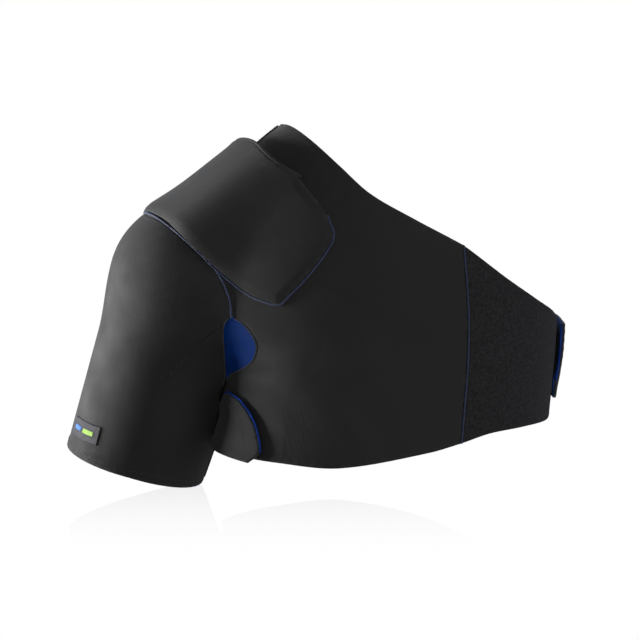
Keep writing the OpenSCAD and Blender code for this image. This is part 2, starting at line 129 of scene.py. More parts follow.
def body(p):
    """Signed height of points above the skin."""
    w = ease((p[:, 2] - ARMPIT_Z) / ARMPIT_SPAN)
    arm = limb(p, ARM_FOOT, ARM_HEAD, *ARM_R, True)
    carved = soft_max(chest(p), mix(*ARM_CUT, w) - arm, ARM_CUT_SOFT)
    girdle = limb(p, ARM_HEAD, NECK_ROOT, GIRDLE_R, NECK_ROOT_R, False)
    neck = np.hypot(p[:, 0] - NECK_X, p[:, 1]) - NECK_R
    trunk = soft_min(carved, soft_min(girdle, neck, NECK_SOFT), TRUNK_SOFT)
    return soft_min(arm, trunk, mix(*ARM_SOFT, w))


SHOULDER_TIP = np.array([-152.0, 0.0, 241.0])
slide_dir = np.array(JOINTS["pack_slide"]["axis"], float)
SLIDE = slide_dir / np.linalg.norm(slide_dir)
SLIDE_UP = np.array([-SLIDE[2], 0.0, SLIDE[0]])
PACK_R, PACK_T, PACK_TURN = 116.0, 5.0, math.radians(31)
PACK_AXIS_H = -126.4
PACK_ROOM = 2.0
CHANNEL_EDGE, CHANNEL_SOFT, COVER_SOFT = 20.0, 20.0, 8.0
PACK_HALF_W = PACK_R * math.sin(PACK_TURN)


def cover_form(p):
    """Zero on the inside of the pocket cover."""
    d = p - SHOULDER_TIP
    roof = np.hypot(d[:, 1], d @ SLIDE_UP - PACK_AXIS_H) - PACK_R - PACK_T - PACK_ROOM
    channel = soft_max(roof, np.abs(d[:, 1]) - PACK_HALF_W - CHANNEL_EDGE, CHANNEL_SOFT)
    return soft_min(body(p) - COVER_LOW, channel, COVER_SOFT)


SLOPE_STEP = 0.25
SETTLE_STEPS, LONGEST_STEP, LEAST_SLOPE = 9, 20.0, 0.05


def slope_of(f, p):
    return np.stack([(f(p + d) - f(p - d)) / (2 * SLOPE_STEP) for d in np.eye(3) * SLOPE_STEP], axis=1)


def settle(f, p):
    """Moves points along the slope on to the zero surface of f."""
    shape = np.shape(p)
    p = np.array(p, float).reshape(-1, 3)
    for _ in range(SETTLE_STEPS):
        g = slope_of(f, p)
        move = -(f(p) / np.maximum((g * g).sum(1), LEAST_SLOPE))[:, None] * g
        length = np.linalg.norm(move, axis=1)
        p = p + move * np.minimum(1.0, LONGEST_STEP / np.maximum(length, 1e-6))[:, None]
    return p.reshape(shape)


def unit(v):
    return v / np.maximum(np.linalg.norm(v, axis=-1, keepdims=True), 1e-9)


def normals(f, p):
    return unit(slope_of(f, p.reshape(-1, 3))).reshape(p.shape)


# ------------------------------------------------------------------ curves and grids
def run_along(points):
    """Length of a line of points from its start to each point."""
    return np.concatenate([[0.0], np.cumsum(np.linalg.norm(np.diff(points, axis=0), axis=1))])


def sampled(at, run, values):
    """Rows of values, given at the lengths run, read off at other lengths."""
    return np.stack([np.interp(at, run, values[:, c]) for c in range(3)], 1)


def curve(points, t):
    """Points at the fractions t of a smooth curve through the guide points."""
    pts = np.array(points, float)
    run = run_along(pts)
    ends = [(max(0, k - 1), min(len(pts) - 1, k + 1)) for k in range(len(pts))]
    pace = np.array([(pts[b] - pts[a]) / (run[b] - run[a]) for a, b in ends])
    s = np.clip(np.asarray(t, float), 0, 1) * run[-1]
    i = np.clip(np.searchsorted(run, s, side="right") - 1, 0, len(pts) - 2)
    h = (run[i + 1] - run[i])[:, None]
    q = (s[:, None] - run[i][:, None]) / h
    return ((1 + 2 * q) * (1 - q) ** 2 * pts[i] + q * (1 - q) ** 2 * h * pace[i]
            + q * q * (3 - 2 * q) * pts[i + 1] + q * q * (q - 1) * h * pace[i + 1])


def chain(parts, t):
    """One edge made of several curves, each given as (guide points, share of the fractions)."""
    t = np.asarray(t, float)
    shares = np.cumsum([0.0] + [share for _, share in parts])
    shares /= shares[-1]
    out = np.zeros((len(t), 3))
    for k, (points, _) in enumerate(parts):
        lo, hi = shares[k], shares[k + 1]
        here = (t >= lo) & ((t <= hi) if k == len(parts) - 1 else (t < hi))
        out[here] = curve(points, (t[here] - lo) / (hi - lo))
    return out


def fractions(length, spacing, rim=(0.25, 0.8, 1.7)):
    """Even fractions along a length, with extra ones close to both ends for a rounded edge."""
    n = max(4, int(round(length / spacing)))
    close = np.array(rim) / length
    inner = np.linspace(0, 1, n + 1)[1:-1]
    inner = inner[(inner > close[-1] * 1.5) & (inner < 1 - close[-1] * 1.5)]
    return np.concatenate([[0.0], close, inner, 1 - close[::-1], [1.0]])


def patch(low, high, left, right, u, v):
    """Grid between four edge functions of a fraction; rows run along u."""
    lo, hi, le, ri = low(u), high(u), left(v), right(v)
    uu, vv = u[None, :, None], v[:, None, None]
    corner = mix(mix(lo[0], lo[-1], uu), mix(hi[0], hi[-1], uu), vv)
    return mix(lo[None], hi[None], vv) + mix(le[:, None], ri[:, None], uu) - corner


def edge(points):
    return lambda t: curve(points, t)


def chained(parts):
    return lambda t: chain(parts, t)


def through(points):
    """Straight line from point to point, each step taking an equal share of the fractions."""
    return lambda t: sampled(t, np.linspace(0, 1, len(points)), points)


def mirrored(points):
    return [(x, -y, z) for x, y, z in points]


def arc_length(grid, axis):
    step = np.linalg.norm(np.diff(grid, axis=axis), axis=2)
    zero = np.zeros_like(np.take(step, [0], axis=axis))
    return np.concatenate([zero, np.cumsum(step, axis=axis)], axis=axis)


def border_distance(grid, ring):
    """Distance in mm of each grid point from the nearest border, and its place along that border."""
    across, down = arc_length(grid, 1), arc_length(grid, 0)
    sides, along = [down, down[-1:] - down], [across, across]
    if not ring:
        sides += [across, across[:, -1:] - across]
        along += [down, down]
    sides, along = np.array(sides), np.array(along)
    nearest = sides.argmin(0)[None]
    return np.take_along_axis(sides, nearest, 0)[0], np.take_along_axis(along, nearest, 0)[0]


# ------------------------------------------------------------------ materials
class Nodes:
    """Short names for building a material's node tree."""

    def __init__(self, name):
        self.mat = bpy.data.materials.new(name)
        self.mat.use_nodes = True
        self.tree = self.mat.node_tree
        self.tree.nodes.clear()
        self.out = self.tree.nodes.new("ShaderNodeOutputMaterial")
        self.bsdf = self.tree.nodes.new("ShaderNodeBsdfPrincipled")
        self.tree.links.new(self.bsdf.outputs[0], self.out.inputs["Surface"])
        self.where = self.add("ShaderNodeTexCoord").outputs["Object"]
        self.uv = self.add("ShaderNodeUVMap", uv_map="cloth").outputs[0]

    def add(self, kind, **settings):
        node = self.tree.nodes.new(kind)
        for key, value in settings.items():
            setattr(node, key, value)
        return node

    def put(self, target, value):
        if isinstance(value, bpy.types.NodeSocket):
            self.tree.links.new(value, target)
        else:
            target.default_value = value

    def math(self, operation, a, b=0.0):
        node = self.add("ShaderNodeMath", operation=operation)
        self.put(node.inputs[0], a)
        self.put(node.inputs[1], b)
        return node.outputs[0]

    def plus(self, a, b, share):
        return self.math("ADD", a, self.math("MULTIPLY", b, share))

    def waves(self, value, pitch):
        return self.math("SINE", self.math("MULTIPLY", value, 2 * math.pi / pitch))

    def noise(self, scale, detail=3.0, rough=0.5):
        node = self.add("ShaderNodeTexNoise")
        self.put(node.inputs["Vector"], self.where)
        self.put(node.inputs["Scale"], scale)
        self.put(node.inputs["Detail"], detail)
        self.put(node.inputs["Roughness"], rough)
        return node.outputs["Fac"]

    def span(self, value, lo, hi, out_lo=0.0, out_hi=1.0):
        node = self.add("ShaderNodeMapRange")
        for socket, v in zip(node.inputs, (value, lo, hi, out_lo, out_hi)):
            self.put(socket, v)
        return node.outputs[0]

    def blend_colours(self, share, a, b):
        node = self.add("ShaderNodeMix", data_type="RGBA")
        self.put(node.inputs["Factor"], share)
        self.put(node.inputs["A"], a)
        self.put(node.inputs["B"], b)
        return node.outputs["Result"]

    def attribute(self, name):
        return self.add("ShaderNodeAttribute", attribute_name=name).outputs["Fac"]

    def split(self, vector):
        node = self.add("ShaderNodeSeparateXYZ")
        self.put(node.inputs[0], vector)
        return node.outputs[0], node.outputs[1], node.outputs[2]

    def bump(self, height, distance, strength, under=None):
        node = self.add("ShaderNodeBump")
        self.put(node.inputs["Height"], height)
        self.put(node.inputs["Distance"], distance)
        self.put(node.inputs["Strength"], strength)
        if under is not None:
            self.put(node.inputs["Normal"], under)
        return node.outputs[0]

    def surface(self, **values):
        for key, value in values.items():
            self.put(self.bsdf.inputs[key.replace("_", " ")], value)
        return self.mat


def rgb(*c):
    return (*c, 1.0)


# black cloth dye, also used as the colour of the painted shade on the armpit insert
BLACK_DYE_AND_SHADE = rgb(0.0115, 0.0115, 0.012)


def knit_height(k, wale, course):
    """Height of a plain knit: slanted loops either side of each wale."""
    u, v, _ = k.split(k.uv)
    across = k.math("FRACT", k.math("DIVIDE", u, wale))
    slant = k.math("ABSOLUTE", k.math("SUBTRACT", across, 0.5))
    row = k.math("ADD", k.math("DIVIDE", v, course), slant)
    loops = k.waves(row, 1.0)
    wales = k.math("SINE", k.math("MULTIPLY", across, math.pi))
    return k.plus(wales, loops, 0.35)


def knit_cloth(name, dark, light, sheen, sheen_tint, wale=0.0011, course=0.0009, depth=0.00016, worn=0.5):
    """Smooth stretch knit: fine loops, soft mottling, a little lint and paler, rubbed edges."""
    k = Nodes(name)
    mottle = k.noise(34.0, 5.0, 0.6)
    broad = k.noise(9.0, 2.0)
    tone = k.span(k.plus(k.math("MULTIPLY", mottle, 0.6), broad, 0.4), 0.35, 0.68)
    colour = k.blend_colours(tone, dark, light)
    rubbed = k.math("MULTIPLY", k.attribute("rim"), k.span(k.noise(160.0, 4.0), 0.42, 0.7, 0.0, worn))
    pale = rgb(*(min(1.0, 2.2 * c + 0.012) for c in light[:3]))
    colour = k.blend_colours(rubbed, colour, pale)
    lint = k.span(k.noise(900.0, 2.0), 0.74, 0.8, 0.0, 0.35)
    colour = k.blend_colours(lint, colour, pale)
    knit = k.bump(knit_height(k, wale, course), depth, 0.7)
    soft = k.bump(k.noise(70.0, 3.0), 0.0005, 0.35, knit)
    rough = k.span(mottle, 0.3, 0.7, 0.62, 0.82)
    return k.surface(Base_Color=colour, Roughness=rough, Normal=soft, Sheen_Weight=sheen,
                     Sheen_Roughness=0.42, Sheen_Tint=sheen_tint, Specular_IOR_Level=0.22)


def loop_cloth():
    """Brushed loop pile: short curled fibres and small tufts."""
    k = Nodes("loop pile")
    curls = k.noise(1500.0, 4.0, 0.7)
    specks = k.noise(430.0, 2.0, 0.6)
    tone = k.span(k.plus(k.math("MULTIPLY", curls, 0.4), specks, 0.6), 0.4, 0.62)
    colour = k.blend_colours(tone, rgb(0.0125, 0.0125, 0.0135), rgb(0.027, 0.027, 0.029))
    fibre = k.bump(curls, 0.0005, 0.9)
    tufts = k.bump(k.noise(420.0, 3.0, 0.6), 0.0006, 0.5, fibre)
    return k.surface(Base_Color=colour, Roughness=0.92, Normal=tufts, Sheen_Weight=0.1,
                     Sheen_Roughness=0.55, Sheen_Tint=rgb(0.5, 0.52, 0.6), Specular_IOR_Level=0.1)


def ribbed_cloth(name, dark, light, pitch, depth, sheen=0.25, painted_shade_below=None):
    """Stretch cloth or elastic with parallel ribs and a fine cross weave; with painted shade, black below a
    given height.
    """
    k = Nodes(name)
    u, v, _ = k.split(k.uv)
    rib = k.waves(u, pitch)
    fine = k.waves(v, 0.45 * pitch)
    height = k.plus(rib, fine, 0.3)
    tone = k.span(k.plus(k.noise(60.0, 4.0), rib, 0.12), 0.3, 0.72)
    colour = k.blend_colours(tone, dark, light)
    if painted_shade_below:
        # painted shade: below the given height the colour turns to the black cloth colour, where shade falls
        # under the arm
        _, _, z = k.split(k.where)
        colour = k.blend_colours(k.span(z, *painted_shade_below), BLACK_DYE_AND_SHADE, colour)
    return k.surface(Base_Color=colour, Roughness=k.span(k.noise(120.0), 0.3, 0.7, 0.5, 0.72),
                     Normal=k.bump(height, depth, 0.8), Sheen_Weight=sheen, Sheen_Roughness=0.4,
                     Sheen_Tint=light, Specular_IOR_Level=0.08)


def thread_cloth(name, dark, light):
    """Twisted sewing thread: fine plies, slight fuzz and uneven dye."""
    k = Nodes(name)
    u, v, _ = k.split(k.uv)
    ply = k.waves(k.plus(u, v, 0.8), 0.0009)
    tone = k.span(k.plus(k.noise(260.0, 4.0), ply, 0.1), 0.3, 0.7)
    colour = k.blend_colours(tone, dark, light)
    fuzz = k.bump(k.noise(2400.0, 3.0), 0.00015, 0.5, k.bump(ply, 0.00012, 0.8))
    return k.surface(Base_Color=colour, Roughness=0.6, Normal=fuzz, Sheen_Weight=0.3,
                     Sheen_Roughness=0.4, Specular_IOR_Level=0.4)


def hook_cloth():
    """Hook tape: a dense field of small moulded hooks on a woven ground."""
    k = Nodes("hook tape")
    cells = k.add("ShaderNodeTexVoronoi")
    k.put(cells.inputs["Vector"], k.uv)
    k.put(cells.inputs["Scale"], 900.0)
    k.put(cells.inputs["Randomness"], 0.35)
    stem = k.span(cells.outputs["Distance"], 0.15, 0.5, 1.0, 0.0)
    colour = k.blend_colours(stem, rgb(0.004, 0.004, 0.005), rgb(0.03, 0.03, 0.034))
    return k.surface(Base_Color=colour, Roughness=k.span(stem, 0.0, 1.0, 0.8, 0.35),
                     Normal=k.bump(stem, 0.0005, 1.0), Specular_IOR_Level=0.5)


def foam_edge():
    """Cut edge of the laminate: fine closed-cell foam."""
    k = Nodes("cut edge")
    cells = k.noise(1800.0, 3.0, 0.7)
    tone = k.span(cells, 0.35, 0.7)
    colour = k.blend_colours(tone, rgb(0.006, 0.006, 0.008), rgb(0.026, 0.027, 0.034))
    return k.surface(Base_Color=colour, Roughness=0.9, Normal=k.bump(cells, 0.0003, 0.7),
                     Sheen_Weight=0.2, Specular_IOR_Level=0.2)


def woven_satin(name, dark, light):
    """Damask label weave: tight satin floats with a slight shine."""
    k = Nodes(name)
    u, v, _ = k.split(k.uv)
    weave = k.math("MULTIPLY", k.waves(u, 0.0005), k.waves(v, 0.0007))
    tone = k.span(k.plus(k.noise(300.0), weave, 0.15), 0.3, 0.7)
    return k.surface(Base_Color=k.blend_colours(tone, dark, light), Roughness=0.5,
                     Normal=k.bump(weave, 0.00008, 0.6), Sheen_Weight=0.02, Specular_IOR_Level=0.15)


def clear_film():
    """Soft clear film with slight wrinkles and a blue cast."""
    k = Nodes("pack film")
    wrinkle = k.bump(k.noise(55.0, 5.0, 0.55), 0.0012, 0.4)
    haze = k.span(k.noise(90.0, 4.0), 0.3, 0.7, 0.16, 0.32)
    return k.surface(Base_Color=rgb(0.42, 0.62, 0.86), Alpha=k.math("ADD", haze, 0.14), Roughness=haze,
                     Normal=wrinkle, Specular_IOR_Level=0.6, Coat_Weight=0.5, Coat_Roughness=0.08)


def cold_gel():
    """Cloudy blue gel with small bubbles."""
    k = Nodes("cold gel")
    cloud = k.noise(38.0, 5.0, 0.6)
    bubbles = k.add("ShaderNodeTexVoronoi")
    k.put(bubbles.inputs["Vector"], k.where)
    k.put(bubbles.inputs["Scale"], 210.0)
    dots = k.span(bubbles.outputs["Distance"], 0.06, 0.14, 1.0, 0.0)
    colour = k.blend_colours(k.span(cloud, 0.35, 0.68), rgb(0.02, 0.16, 0.46), rgb(0.07, 0.32, 0.68))
    colour = k.blend_colours(k.math("MULTIPLY", dots, 0.45), colour, rgb(0.4, 0.66, 0.9))
    return k.surface(Base_Color=colour, Roughness=0.28, Normal=k.bump(cloud, 0.001, 0.4),
                     Subsurface_Weight=0.25, Subsurface_Radius=(0.2, 0.6, 1.0), Subsurface_Scale=0.004)


# painted shade: the armpit insert fades to black between these heights, in metres, standing in for the shade of
# the dark crease under the arm
INSERT_PAINTED_SHADE = (0.102, 0.106)

BLACK = knit_cloth("black stretch cloth", BLACK_DYE_AND_SHADE, rgb(0.0205, 0.0205, 0.0213), 0.12, rgb(0.75, 0.76, 0.8))
LINING = knit_cloth("blue lining cloth", rgb(0.004, 0.022, 0.16), rgb(0.008, 0.045, 0.27), 0.3,
                    rgb(0.25, 0.42, 0.9), 0.0009, 0.0007, 0.0001, 0.25)
EDGE = foam_edge()
LOOP = loop_cloth()
GUSSET = ribbed_cloth("blue stretch insert", rgb(0.0002, 0.017, 0.11), rgb(0.0004, 0.031, 0.185),
                      0.0016, 0.0001, 0.0, INSERT_PAINTED_SHADE)
TRIM = ribbed_cloth("blue binding", rgb(0.003, 0.02, 0.16), rgb(0.007, 0.045, 0.28), 0.0009, 0.0001, 0.05)
ELASTIC = ribbed_cloth("black elastic", rgb(0.007, 0.007, 0.009), rgb(0.024, 0.024, 0.028), 0.0019, 0.0003)
THREAD = thread_cloth("blue seam thread", rgb(0.009, 0.019, 0.06), rgb(0.022, 0.042, 0.12))
DARK_THREAD = thread_cloth("black thread", rgb(0.007, 0.007, 0.008), rgb(0.018, 0.018, 0.021))
HOOK = hook_cloth()
LABEL = woven_satin("label weave", rgb(0.0012, 0.0016, 0.005), rgb(0.003, 0.004, 0.012))
MARK_BLUE = woven_satin("blue label thread", rgb(0.02, 0.10, 0.5), rgb(0.05, 0.2, 0.75))
MARK_GREEN = woven_satin("green label thread", rgb(0.22, 0.42, 0.05), rgb(0.4, 0.62, 0.1))
FILM = clear_film()
GEL = cold_gel()


# ------------------------------------------------------------------ mesh builders
# soft broad folds from x, z to x, z; half width; height; side of the body (-1 front, 1 back)
FOLDS = [
    (-52, 150, 30, 70, 17, 1.5, -1), (-40, 118, 45, 52, 12, 1.0, -1), (-20, 165, 75, 100, 22, 1.2, -1),
    (40, 205, 110, 120, 22, 0.9, -1), (-52, 150, 30, 70, 18, 1.4, 1), (20, 200, 110, 110, 26, 1.3, 1),
]
FOLD_FADE = 30.0


def drape(p):
    """Outward height, in mm, of the folds that all the layers share."""
    out = np.zeros(p.shape[:-1])
    for x0, z0, x1, z1, width, height, side in FOLDS:
        d = np.array([x1 - x0, z1 - z0])
        rel = p[..., [0, 2]] - np.array([x0, z0])
        t = rel @ d / (d @ d)
        c = np.clip(t, 0, 1)
        off = np.linalg.norm(rel - c[..., None] * d, axis=-1)
        out += height * bell(off, 0, width) * ease(side * p[..., 1] / FOLD_FADE)
    return out


def add_piece(name, points, faces, uv, slots, mats, rim):
    """Mesh object from points, uv and rim wear per point and a slot number per face; lengths in mm."""
    mesh = bpy.data.meshes.new(name)
    mesh.from_pydata((np.asarray(points) * MM).tolist(), [], faces)
    for m in mats:
        mesh.materials.append(m)
    mesh.polygons.foreach_set("material_index", np.asarray(slots, dtype=np.int32))
    layer = mesh.uv_layers.new(name="cloth")
    corners = np.zeros(len(mesh.loops), dtype=np.int32)
    mesh.loops.foreach_get("vertex_index", corners)
    layer.data.foreach_set("uv", (np.asarray(uv, float) * MM)[corners].ravel())
    worn = mesh.attributes.new("rim", "FLOAT", "POINT")
    worn.data.foreach_set("value", rim)
    mesh.polygons.foreach_set("use_smooth", np.ones(len(faces), dtype=bool))
    mesh.update()
    piece = bpy.data.objects.new(name, mesh)
    bpy.context.scene.collection.objects.link(piece)
    return piece


def grid_faces(rows, cols, ring, offset=0, flip=False):
    out = []
    for j in range(rows - 1):
        for i in range(cols if ring else cols - 1):
            a, b = offset + j * cols + i, offset + j * cols + (i + 1) % cols
            c, d = b + cols, a + cols
            out.append((a, d, c, b) if flip else (a, b, c, d))
    return out


def border_loops(rows, cols, ring):
    """Point numbers along the borders of a grid, all the same way round."""
    first, last = list(range(cols)), list(range((rows - 1) * cols, rows * cols))
    if ring:
        return [first + first[:1], (last + last[:1])[::-1]]
    left, right = [j * cols for j in range(rows)], [j * cols + cols - 1 for j in range(rows)]
    return [first, last[::-1], right, left[::-1]]


def two_faced(name, inner, outer, mats, ring=False, rim=None):
    """Closed sheet between two grids: outer face, inner face and the rim between them."""
    if ring:
        inner, outer = inner[:, :-1], outer[:, :-1]
        rim = None if rim is None else rim[:, :-1]
    rows, cols = outer.shape[:2]
    count = rows * cols
    j, i = rows // 2, cols // 2
    du, dv = outer[j, i + 1] - outer[j, i], outer[j + 1, i] - outer[j, i]
    facing = np.cross(du, dv) @ (outer - inner)[j, i] > 0
    over = grid_faces(rows, cols, ring, 0, not facing)
    under = grid_faces(rows, cols, ring, count, facing)
    wall = []
    for loop in border_loops(rows, cols, ring):
        for a, b in zip(loop[:-1], loop[1:]):
            wall.append((b, a, a + count, b + count) if facing else (a, b, b + count, a + count))
    across, down = arc_length(outer, 1), arc_length(outer, 0)
    uv = np.stack([across.mean(0)[None] + 0 * across, down], -1).reshape(-1, 2)
    worn = np.zeros(count) if rim is None else rim.ravel()
    return add_piece(name, np.concatenate([outer.reshape(-1, 3), inner.reshape(-1, 3)]), over + under + wall,
                     np.concatenate([uv, uv]), [0] * len(over) + [1] * len(under) + [2] * len(wall), mats,
                     np.concatenate([worn, worn]))


RIM_SHARE, WORN_W = 0.32, 2.2
PUCKER_PITCH, PUCKER_AT, PUCKER_W = 7.3, 2.5, 3.2


def fabric(name, grid, low, high, mats, form=body, ring=False, bend=1.7, pucker=0.16, folds=True):
    """Soft sheet between two heights above a settled grid, with rolled edges and small stitch puckers."""
    n = normals(form, grid)
    d, s = border_distance(grid, ring)
    k = mix(RIM_SHARE, 1, np.sqrt(np.clip(1 - (1 - np.clip(d / bend, 0, 1)) ** 2, 0, 1)))
    low, high = low + 0 * d, high + 0 * d
    mid, half = (low + high) / 2, (high - low) / 2 * k
    ripple = pucker * np.cos(2 * math.pi * s / PUCKER_PITCH) * bell(d, PUCKER_AT, PUCKER_W)
    shared = drape(grid) if folds else 0.0
    outer = grid + (mid + half + ripple + shared)[..., None] * n
    inner = grid + (mid - half + shared)[..., None] * n
    return two_faced(name, inner, outer, mats, ring, bell(d, 0, WORN_W))


def lifted(points, h):
    """Points settled on the body, then raised along its slope, with the shared folds."""
    p = settle(body, np.asarray(points, float))
    return p + (h + drape(p)[..., None]) * normals(body, p)


def even(points, spacing):
    """Resamples a path of points at an even spacing."""
    run = run_along(points)
    s = np.linspace(0, run[-1], max(3, int(round(run[-1] / spacing)) + 1))
    return sampled(s, run, points)


def path_on(points, h, spacing=0.8):
    return even(lifted(curve(points, np.linspace(0, 1, 160)), h), spacing)


PLY_DEPTH, PLY_PITCH = 0.13, 2.4
THINNEST_END = 0.04


def tube(path, r, up, sides, ply=0.0):
    """Points, faces and uv of a round cord with tapered ends; ply gives the ridges of a twisted thread."""
    nxt, prv = np.roll(path, -1, 0), np.roll(path, 1, 0)
    nxt[-1], prv[0] = path[-1], path[0]
    t = unit(nxt - prv)
    side = unit(np.cross(t, up))
    top = np.cross(side, t)
    s = run_along(path)
    a = 2 * math.pi * np.arange(sides) / sides
    rr = r * (1 + ply * np.cos(2 * a[None] - 2 * math.pi * s[:, None] / PLY_PITCH))
    rr = rr * np.sqrt(np.clip(np.minimum(s, s[-1] - s) / r, THINNEST_END, 1.0))[:, None]
    across, above = (rr * np.cos(a))[..., None], (rr * np.sin(a))[..., None]
    pts = path[:, None] + across * side[:, None] + above * top[:, None]
    rows = len(path)
    faces = grid_faces(rows, sides, True)
    faces.append(tuple(range(sides))[::-1])
    faces.append(tuple(range((rows - 1) * sides, rows * sides)))
    uv = np.stack([s[:, None] + 0 * a[None], 0 * s[:, None] + r * a[None]], -1).reshape(-1, 2)
    return pts.reshape(-1, 3), faces, uv


def joined(name, parts, mat, rim=0.0):
    """One object from several cords."""
    points, faces, uv, base = [], [], [], 0
    for p, f, u in parts:
        points.append(p)
        uv.append(u)
        faces += [tuple(base + i for i in face) for face in f]
        base += len(p)
    points, worn = np.concatenate(points), np.full(base, rim)
    return add_piece(name, points, faces, np.concatenate(uv), [0] * len(faces), [mat], worn)


SEAM_STEP = 0.65


def seam_cord(points, h, r):
    path = path_on(points, h, SEAM_STEP)
    return tube(path, r, normals(body, path), 8, PLY_DEPTH)


FIRST_STITCH = 0.3


def stitches(path, up, length, gap, r):
    """Short stitches laid end to end along a path."""
    run = run_along(path)
    dip = r * np.array([-0.8, -0.1, 0.0, 0.0, -0.1, -0.8])[:, None]
    out, s = [], FIRST_STITCH
    while s + length < run[-1]:
        at = np.linspace(s, s + length, len(dip))
        lift = unit(sampled(at, run, up))
        out.append(tube(sampled(at, run, path) + dip * lift, r, lift, 6))
        s += length + gap
    return out


def both(points):
    return [points, mirrored(points)]


# ------------------------------------------------------------------ guide curves; the back mirrors most of them
NECK_TIP = (-31, 0, 318)
SPLIT = (-86, -77, 201)
GUSSET_TIP = (-70, -78, 160)
CLOSURE_TOP, CLOSURE_FOOT = (123, -100, 224), (122, -108, 56.5)
SIDE_TOP, SIDE_FOOT = (-81, -34, 85), (-85, -36, 41)
STRAP_ROOT_TOP, STRAP_ROOT_FOOT = (150, 100, 152), (150, 100, 73)
TIP = tuple(SHOULDER_TIP)

ridge = [TIP, (-128, 0, 256), (-100, 0, 272), (-62, 0, 299), NECK_TIP]
neckline = [NECK_TIP, (-5, -62, 310), (20, -84, 289), (45, -95, 267), (82, -101, 246), CLOSURE_TOP]
armhole = [TIP, (-145, -22, 241), (-130, -44, 236), (-101, -70, 215), SPLIT, (-74, -81, 178), GUSSET_TIP]
gusset_chest = [GUSSET_TIP, (-61, -82, 157), (-51, -86, 148), (-47.5, -88, 137), (-52, -83, 124),
                (-62, -67, 113), (-72, -53, 107), (-74, -46, 100), (-78, -38, 92), SIDE_TOP]
gusset_sleeve = [GUSSET_TIP, (-76, -75, 157), (-78, -69, 146), (-78, -63, 130), (-77.5, -56, 117),
                 (-76.5, -49, 108), (-80.5, -43, 98), (-88, -33, 84)]
vault_chest = [SIDE_TOP, (-77, -24, 77), (-71, -11, 71), (-70, 0, 69)]
vault_sleeve = [gusset_sleeve[-1], (-88, -16, 73), (-84, 0, 69)]
front_hem = [SIDE_FOOT, (-70, -64, 40), (-50, -84, 39), (-31, -97, 38.5), (20, -113, 36.5), (95, -112, 49.5),
             CLOSURE_FOOT]
closure_edge = [CLOSURE_TOP, (127, -106, 150), CLOSURE_FOOT]
back_neckline = [NECK_TIP, (-8, 60, 292), (18, 84, 264), (48, 95, 239), (84, 101, 212), (120, 105, 182),
                 STRAP_ROOT_TOP]
back_hem = [(-85, 36, 41), (-70, 64, 40), (-31, 97, 39), (20, 113, 37), (90, 114, 50), STRAP_ROOT_FOOT]
loop_top = [CLOSURE_TOP, (159, -91, 196), (186, -71, 175), (201, -46, 162), (211, -10, 148), (210, 24, 142)]
loop_foot = [CLOSURE_FOOT, (147, -98, 63.5), (174, -80, 65.5), (188, -61, 65.5), (202, -22, 64),
             (204, 24, 65)]

STEP = 3.0
WRAP_MATS = [BLACK, LINING, EDGE]


# ------------------------------------------------------------------ panels of the wrap
def body_panel(name, hole, gusset, collar, far, hem):
    top, left = [(ridge, 8), (collar, 14)], [(hole, 9), (gusset, 7), ([gusset[-1], hem[0]], 3)]
    u, v = fractions(380, STEP), fractions(300, STEP)
    grid = patch(chained(top), edge(hem), chained(left), edge(far), u, v)
    piece = fabric(name, settle(body, grid), 0, FABRIC, WRAP_MATS)
    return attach(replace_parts(piece, name), "wrap")


body_panel("front_panel", armhole, gusset_chest, neckline, closure_edge, front_hem)
body_panel("back_panel", mirrored(armhole), mirrored(gusset_chest), back_neckline,
           [STRAP_ROOT_TOP, STRAP_ROOT_FOOT], back_hem)

grid = patch(edge(loop_top), edge(loop_foot), edge(closure_edge), edge([loop_top[-1], loop_foot[-1]]),
             fractions(170, STEP), fractions(120, STEP))
piece = fabric("loop_panel", settle(body, grid), 0, FABRIC, [LOOP, LINING, EDGE])
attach(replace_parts(piece, "loop_panel"), "wrap")


# ------------------------------------------------------------------ sleeve
HEM_AT, HEM_SAG = CUFF_STATION - 9.0, 3.0
HEM_W, HEM_SWELL, HEM_GROOVE = 8.0, 0.55, 0.35
SWING, SWING_AT, SWING_W = 84.0, 0.24, 0.12
ARM_TILT = math.atan2(ARM_DIR[0], ARM_DIR[2])


def bends_with_sleeve(piece):
    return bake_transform(piece)


def arm_radius(s):
    return mix(ARM_R[0], ARM_R[1], s / ARM_LEN)


def on_arm(s, turn, r):
    """Points round the arm's axis; turn is in radians from its outer side towards the front."""
    out = np.stack([-np.cos(turn) * math.cos(ARM_TILT), -np.sin(turn), np.cos(turn) * math.sin(ARM_TILT)], -1)
    return ARM_FOOT + np.asarray(s)[..., None] * ARM_DIR + np.asarray(r)[..., None] * out


def off_arm(p):
    """Outward directions from the arm's axis."""
    return unit(p - ARM_FOOT - ((p - ARM_FOOT) @ ARM_DIR)[..., None] * ARM_DIR)


def round_trip(half, t):
    """A seam that runs down the front along the given curves and comes back up their mirror image."""
    front = chain(half, np.clip(2 * t, 0, 1))
    back = chain(half, np.clip(2 - 2 * t, 0, 1)) * np.array([1, -1, 1])
    return np.where((t < 0.5)[:, None], front, back)


def hem_drop(turn):
    return HEM_SAG * (np.maximum(0, np.sin(turn)) + np.maximum(0, np.cos(turn)))


share = np.linspace(0, 1, 1 + (144))
turns = 2 * math.pi * share
rows = fractions(200, STEP)[:, None, None]
hem_ring = on_arm(HEM_AT - hem_drop(turns), turns, arm_radius(HEM_AT) + 0 * turns)
upper_seam = round_trip([(armhole, 11), (gusset_sleeve, 8), (vault_sleeve, 4)], share)
grid = mix(hem_ring[None], upper_seam[None], rows)
